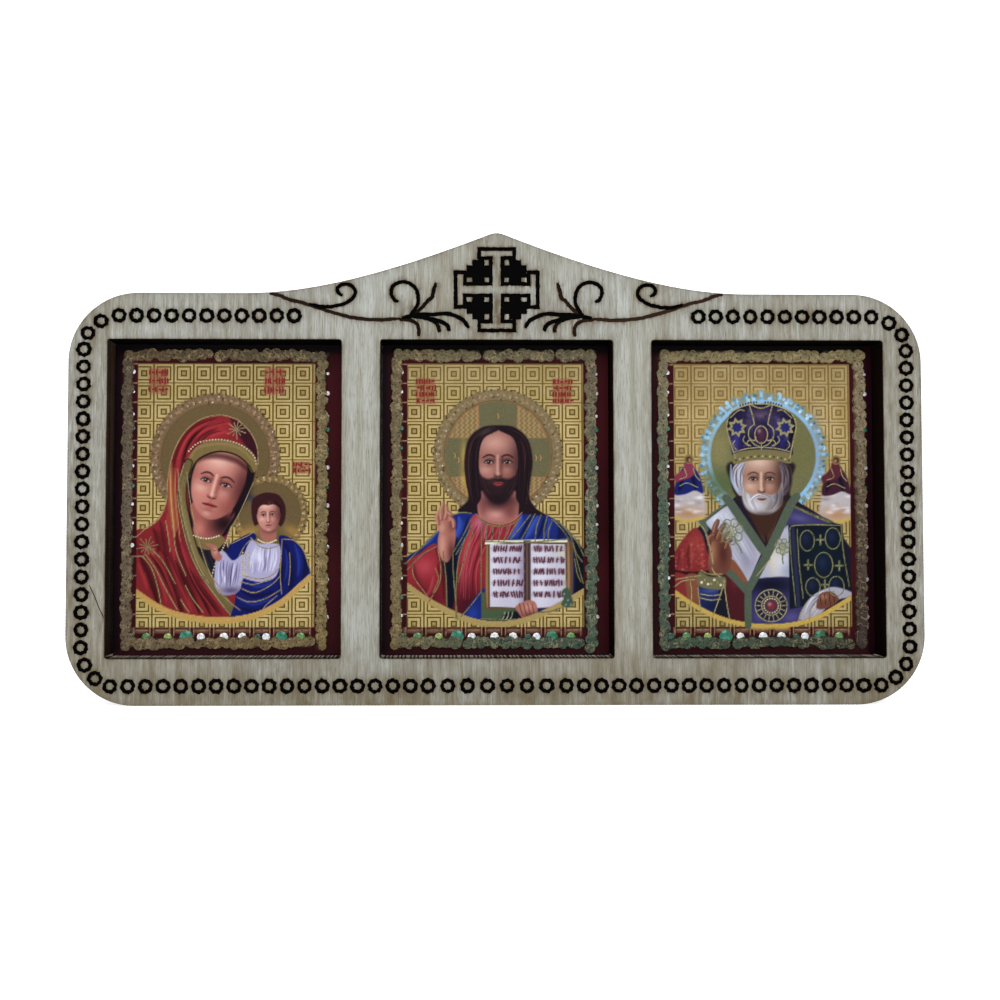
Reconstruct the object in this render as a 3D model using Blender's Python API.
# Wooden icon plaque: a laser-cut birch front frame with three windows, a plain back board behind it,
# and three picture cards standing in the windows. All three layers are glued flat together.
# Metres, +Z up. The plaque stands on its flat bottom edge and faces -Y; the origin is the middle
# of its underside.
import math

import bmesh
import bpy
from mathutils import Matrix, Vector

MM = 0.001

# The outline that both boards share
WIDTH = 110.0 * MM
SHOULDER_HEIGHT = 52.9 * MM
CORNER_RADIUS = 8.9 * MM
CREST_HALF_WIDTH = 33.0 * MM     # where the ogee leaves the flat shoulder
CREST_TIP_HALF = 0.9 * MM        # where the ogee meets the rounded tip
CREST_TIP_HEIGHT = 60.63 * MM
CREST_LEAVE = 6.6 * MM           # how far the ogee runs level before it climbs
CREST_CLIMB = Vector((17.15, -6.7)) * MM  # the ogee's slope where it meets the tip

# The layers, front to back, with a hair of room between pieces
FRONT_THICKNESS = 4.0 * MM
BACK_THICKNESS = 3.0 * MM
CARD_THICKNESS = 0.5 * MM
GAP = 0.3 * MM
DEPTH = FRONT_THICKNESS + GAP + BACK_THICKNESS
FRONT_Y = -DEPTH / 2
BACK_BOARD_Y = DEPTH / 2 - BACK_THICKNESS

# The three windows
WINDOW_WIDTH = 30.0 * MM
WINDOW_HEIGHT = 40.9 * MM
WINDOW_PITCH = 35.0 * MM
WINDOW_SILL = 6.0 * MM
CARD_NAMES = {-1: "left_card", 0: "centre_card", 1: "right_card"}

# The engraved ring border
RING_RADIUS = 0.72 * MM          # to the middle of the burnt line
RING_SEGMENTS = 8
RING_PITCH = 2.245 * MM
RING_SIDE_X = 53.0 * MM
RING_SIDE_LOW = 7.4 * MM
RING_SIDE_COUNT = 18
RING_BOTTOM_Z = 2.5 * MM
RING_BOTTOM_END = 49.25 * MM
RING_BOTTOM_OUTER = 19           # rings at the side pitch in from each end of the bottom row
RING_BOTTOM_MIDDLE = 8           # wider-set rings across the middle, with the last one of each end
RING_TOP_Z = 49.95 * MM
RING_TOP_END = 48.55 * MM
RING_TOP_COUNT = 11
RING_CORNERS = ((50.85, 49.2), (52.5, 47.65), (52.5, 5.2), (51.15, 3.5))

# How the engraving is cut: a V groove whose cutter stands a little proud of the face
GROOVE_DEPTH = 0.25 * MM
GROOVE_PROUD = 0.05 * MM
GROOVE_RADIUS = GROOVE_DEPTH + GROOVE_PROUD

# The cross over the centre window
CROSS_Z = 53.4 * MM
CROSS_BAR = 0.52 * MM            # half the width of the unburnt bars
CROSS_END = 5.15 * MM            # from the centre to the outside of an unburnt end bar
CROSS_END_THICKNESS = 0.75 * MM
CROSS_END_HALF = 2.02 * MM
CROSS_LINE = 0.42 * MM           # the burnt outline round it
CROSSLET_CENTRE = 2.35 * MM
CROSSLET_ARM = 1.35 * MM
CROSSLET_HALF = 0.63 * MM

# The scrollwork right of the cross, mirrored to its left: each stroke's width factor and points in mm
SCROLL_STROKES = {
    "stem": (1.0, ((12.0, 49.6), (15.3, 49.37), (20.2, 50.1), (26.0, 51.8), (29.4, 52.55))),
    "outer_curl": (
        1.0,
        ((24.4, 51.3), (20.3, 51.1), (18.3, 52.6), (19.3, 53.9), (20.5, 52.8), (19.75, 52.3)),
    ),
    "inner_curl": (1.0, ((11.6, 49.8), (10.0, 52.0), (11.8, 54.3), (13.6, 53.0), (12.6, 51.8))),
    "sprig": (0.9, ((11.2, 50.1), (8.8, 51.75), (7.8, 54.25))),
    "leaf_by_cross": (1.0, ((12.3, 49.6), (8.2, 50.2), (4.6, 49.7), (3.4, 48.3))),
    "long_leaf": (1.1, ((11.2, 49.85), (8.2, 49.75), (6.3, 48.25))),
    "short_leaf": (1.0, ((11.4, 49.7), (8.3, 49.6), (7.4, 47.75))),
    "tail_leaf": (0.9, ((12.6, 49.45), (10.3, 49.0), (10.05, 47.4))),
}
STROKE_STEPS = 3                 # straight pieces between two points of a stroke
STROKE_END = 0.75                # how thin a stroke is at its ends

OUTLINE_STEPS = 14               # straight pieces in each bend of an outline
WELD_DISTANCE = 0.0005 * MM
CIRCLE_HANDLE = 4 / 3 * math.tan(math.pi / 8)


def clear_scene():
    for old in list(bpy.data.objects):
        bpy.data.objects.remove(old, do_unlink=True)


def new_collection(name):
    made = bpy.data.collections.new(name)
    bpy.context.scene.collection.children.link(made)
    return made


def make_material(name, colour, roughness):
    material = bpy.data.materials.new(name)
    material.use_nodes = True
    shader = material.node_tree.nodes["Principled BSDF"]
    shader.inputs["Base Color"].default_value = (*colour, 1.0)
    shader.inputs["Roughness"].default_value = roughness
    shader.inputs["Metallic"].default_value = 0.0
    return material


def add_bezier(curve, corners):
    # corners holds (point, handle in, handle out) round a closed loop; None is a straight side.
    spline = curve.splines.new("BEZIER")
    spline.bezier_points.add(len(corners) - 1)
    spline.use_cyclic_u = True
    for knot, (point, handle_in, handle_out) in zip(spline.bezier_points, corners):
        knot.co = (*point, 0)
        knot.handle_left_type = "VECTOR" if handle_in is None else "FREE"
        knot.handle_right_type = "VECTOR" if handle_out is None else "FREE"
        if handle_in is not None:
            knot.handle_left = (*handle_in, 0)
        if handle_out is not None:
            knot.handle_right = (*handle_out, 0)


def add_polygon(curve, points):
    spline = curve.splines.new("POLY")
    spline.points.add(len(points) - 1)
    spline.use_cyclic_u = True
    for knot, (x, z) in zip(spline.points, points):
        knot.co = (x, z, 0, 1)


def flat_curve(name, thickness):
    curve = bpy.data.curves.new(name, "CURVE")
    curve.dimensions = "2D"
    curve.fill_mode = "BOTH"
    curve.extrude = thickness / 2
    curve.resolution_u = OUTLINE_STEPS
    return curve


def standing_mesh(name, curve, middle_y, collection):
    # The curve is drawn flat in X and Y, then stood up so that its second axis is the height.
    drawn = bpy.data.objects.new(name + "_drawn", curve)
    bpy.context.scene.collection.objects.link(drawn)
    bpy.context.view_layer.update()
    graph = bpy.context.evaluated_depsgraph_get()
    mesh = bpy.data.meshes.new_from_object(drawn.evaluated_get(graph))
    bpy.data.objects.remove(drawn)
    mesh.name = name
    shape = bmesh.new()
    shape.from_mesh(mesh)
    bmesh.ops.remove_doubles(shape, verts=shape.verts, dist=WELD_DISTANCE)
    bmesh.ops.transform(shape, matrix=Matrix.Rotation(math.pi / 2, 4, "X"), verts=shape.verts)
    bmesh.ops.recalc_face_normals(shape, faces=shape.faces)
    shape.to_mesh(mesh)
    shape.free()
    made = bpy.data.objects.new(name, mesh)
    made.location = (0, middle_y, 0)
    collection.objects.link(made)
    return made


def board_corners():
    # Round the outline from the bottom left, anticlockwise as seen from the front.
    half, bend = WIDTH / 2, CORNER_RADIUS
    slack = bend * (1 - CIRCLE_HANDLE)
    top = SHOULDER_HEIGHT
    climb_angle = math.atan2(-CREST_CLIMB.y, CREST_CLIMB.x)
    tip_radius = CREST_TIP_HALF / math.sin(climb_angle)
    tip_handle = CREST_CLIMB.normalized() * tip_radius * 4 / 3 * math.tan(climb_angle / 2)
    tip = Vector((CREST_TIP_HALF, CREST_TIP_HEIGHT))
    right = [
        ((half - bend, 0), None, (half - slack, 0)),
        ((half, bend), (half, slack), None),
        ((half, top - bend), None, (half, top - slack)),
        ((half - bend, top), (half - slack, top), None),
        ((CREST_HALF_WIDTH, top), None, (CREST_HALF_WIDTH - CREST_LEAVE, top)),
        (tuple(tip), tuple(tip + CREST_CLIMB), tuple(tip - tip_handle)),
    ]

    def mirrored(point):
        return None if point is None else (-point[0], point[1])

    left = []
    for point, before, after in reversed(right):
        left.append((mirrored(point), mirrored(after), mirrored(before)))
    return right + left


def window_corners(index):
    middle = index * WINDOW_PITCH
    left, right = middle - WINDOW_WIDTH / 2, middle + WINDOW_WIDTH / 2
    low, high = WINDOW_SILL, WINDOW_SILL + WINDOW_HEIGHT
    return [(left, low), (right, low), (right, high), (left, high)]


def ring_places():
    # Ring centres on the right half of the border, then on the left.
    right = [(RING_SIDE_X, RING_SIDE_LOW + i * RING_PITCH) for i in range(RING_SIDE_COUNT)]
    right += [(RING_TOP_END - i * RING_PITCH, RING_TOP_Z) for i in range(RING_TOP_COUNT)]
    right += [(x * MM, z * MM) for x, z in RING_CORNERS]
    outer = [RING_BOTTOM_END - i * RING_PITCH for i in range(RING_BOTTOM_OUTER)]
    spacing = 2 * outer[-1] / (RING_BOTTOM_MIDDLE - 1)
    middle = [outer[-1] - i * spacing for i in range(1, RING_BOTTOM_MIDDLE // 2)]
    right += [(x, RING_BOTTOM_Z) for x in outer + middle]
    return right + [(-x, z) for x, z in right]


def ring_cutters(collection):
    bpy.ops.mesh.primitive_torus_add(
        major_segments=RING_SEGMENTS, minor_segments=4, major_radius=RING_RADIUS, minor_radius=GROOVE_RADIUS
    )
    pattern = bpy.context.object
    facing = Matrix.Rotation(math.pi / 2, 4, "X")
    shape = bmesh.new()
    for x, z in ring_places():
        before = len(shape.verts)
        shape.from_mesh(pattern.data)
        shape.verts.ensure_lookup_table()
        place = Matrix.Translation((x, FRONT_Y - GROOVE_PROUD, z)) @ facing
        bmesh.ops.transform(shape, matrix=place, verts=shape.verts[before:])
    mesh = bpy.data.meshes.new("ring_cutters")
    shape.to_mesh(mesh)
    shape.free()
    bpy.data.objects.remove(pattern)
    collection.objects.link(bpy.data.objects.new("ring_cutters", mesh))


def stroke_cutter(name, points, width, collection):
    # A smooth line through the points, with a diamond section that tapers at both ends.
    curve = bpy.data.curves.new(name, "CURVE")
    curve.dimensions = "3D"
    curve.twist_mode = "Z_UP"
    curve.bevel_depth = GROOVE_RADIUS * width
    curve.bevel_resolution = 0
    curve.use_fill_caps = True
    curve.resolution_u = STROKE_STEPS
    spline = curve.splines.new("BEZIER")
    spline.bezier_points.add(len(points) - 1)
    for knot, (x, z) in zip(spline.bezier_points, points):
        knot.co = (x * MM, z * MM, 0)
        knot.handle_left_type = "AUTO"
        knot.handle_right_type = "AUTO"
    spline.bezier_points[0].radius = STROKE_END
    spline.bezier_points[-1].radius = STROKE_END
    return standing_mesh(name, curve, FRONT_Y - GROOVE_PROUD, collection)


def scroll_cutters(collection):
    for name, (width, points) in SCROLL_STROKES.items():
        for side, word in ((1, "right"), (-1, "left")):
            placed = [(side * x, z) for x, z in points]
            stroke_cutter(f"{name}_{word}", placed, width, collection)


def four_turns(corners):
    # The same corners at each quarter turn, clockwise round the middle.
    points = []
    for across, up in ((1, 0), (0, -1), (-1, 0), (0, 1)):
        points += [(x * across - z * up, x * up + z * across) for x, z in corners]
    return points


def cross_outline(grow):
    # A cross with a bar across each end, every side moved out by grow.
    bar = CROSS_BAR + grow
    outer = CROSS_END + grow
    inner = CROSS_END - CROSS_END_THICKNESS - grow
    half = CROSS_END_HALF + grow
    arm = [(bar, bar), (inner, bar), (inner, half), (outer, half)]
    arm += [(outer, -half), (inner, -half), (inner, -bar)]
    return [(x, CROSS_Z + z) for x, z in four_turns(arm)]


def crosslet_outline(side_x, side_z):
    corners = [(CROSSLET_HALF, CROSSLET_ARM), (CROSSLET_HALF, CROSSLET_HALF), (CROSSLET_ARM, CROSSLET_HALF)]
    middle_x = side_x * CROSSLET_CENTRE
    middle_z = CROSS_Z + side_z * CROSSLET_CENTRE
    return [(middle_x + x, middle_z + z) for x, z in four_turns(corners)]


def cross_cutters(collection):
    thickness = 2 * GROOVE_DEPTH
    line = flat_curve("cross_line", thickness)
    add_polygon(line, cross_outline(CROSS_LINE))
    add_polygon(line, cross_outline(0))
    standing_mesh("cross_line", line, FRONT_Y, collection)
    for side_x in (-1, 1):
        for side_z in (-1, 1):
            name = f"crosslet_{side_x}_{side_z}"
            crosslet = flat_curve(name, thickness)
            add_polygon(crosslet, crosslet_outline(side_x, side_z))
            standing_mesh(name, crosslet, FRONT_Y, collection)


def engrave(board, cutters):
    groove = board.modifiers.new("engraving", "BOOLEAN")
    groove.operation = "DIFFERENCE"
    groove.operand_type = "COLLECTION"
    groove.collection = cutters
    groove.solver = "EXACT"


def make_front_frame(collection, cutters):
    curve = flat_curve("front_frame", FRONT_THICKNESS)
    add_bezier(curve, board_corners())
    for index in CARD_NAMES:
        add_polygon(curve, window_corners(index))
    board = standing_mesh("front_frame", curve, FRONT_Y + FRONT_THICKNESS / 2, collection)
    board.data.materials.append(make_material("pale_birch", (0.55, 0.50, 0.42), 0.6))
    ring_cutters(cutters)
    scroll_cutters(cutters)
    cross_cutters(cutters)
    engrave(board, cutters)


def make_back_board(collection):
    curve = flat_curve("back_board", BACK_THICKNESS)
    add_bezier(curve, board_corners())
    board = standing_mesh("back_board", curve, BACK_BOARD_Y + BACK_THICKNESS / 2, collection)
    board.data.materials.append(make_material("back_birch", (0.52, 0.43, 0.31), 0.65))


def make_cards(collection):
    size = Vector((WINDOW_WIDTH - 2 * GAP, CARD_THICKNESS, WINDOW_HEIGHT - 2 * GAP))
    for index, name in CARD_NAMES.items():
        shape = bmesh.new()
        bmesh.ops.create_cube(shape, size=1, matrix=Matrix.Diagonal((*size, 1)))
        mesh = bpy.data.meshes.new(name)
        shape.to_mesh(mesh)
        shape.free()
        card = bpy.data.objects.new(name, mesh)
        card.location = (
            index * WINDOW_PITCH,
            BACK_BOARD_Y - GAP - CARD_THICKNESS / 2,
            WINDOW_SILL + WINDOW_HEIGHT / 2,
        )
        card.data.materials.append(make_material(name + "_print", (0.60, 0.42, 0.10), 0.35))
        collection.objects.link(card)


def hide_cutters(cutters):
    for cutter in cutters.objects:
        cutter.hide_render = True
        cutter.display_type = "WIRE"


def main():
    clear_scene()
    plaque = new_collection("icon_plaque")
    cutters = new_collection("engraving_cutters")
    make_front_frame(plaque, cutters)
    make_back_board(plaque)
    make_cards(plaque)
    hide_cutters(cutters)


main()
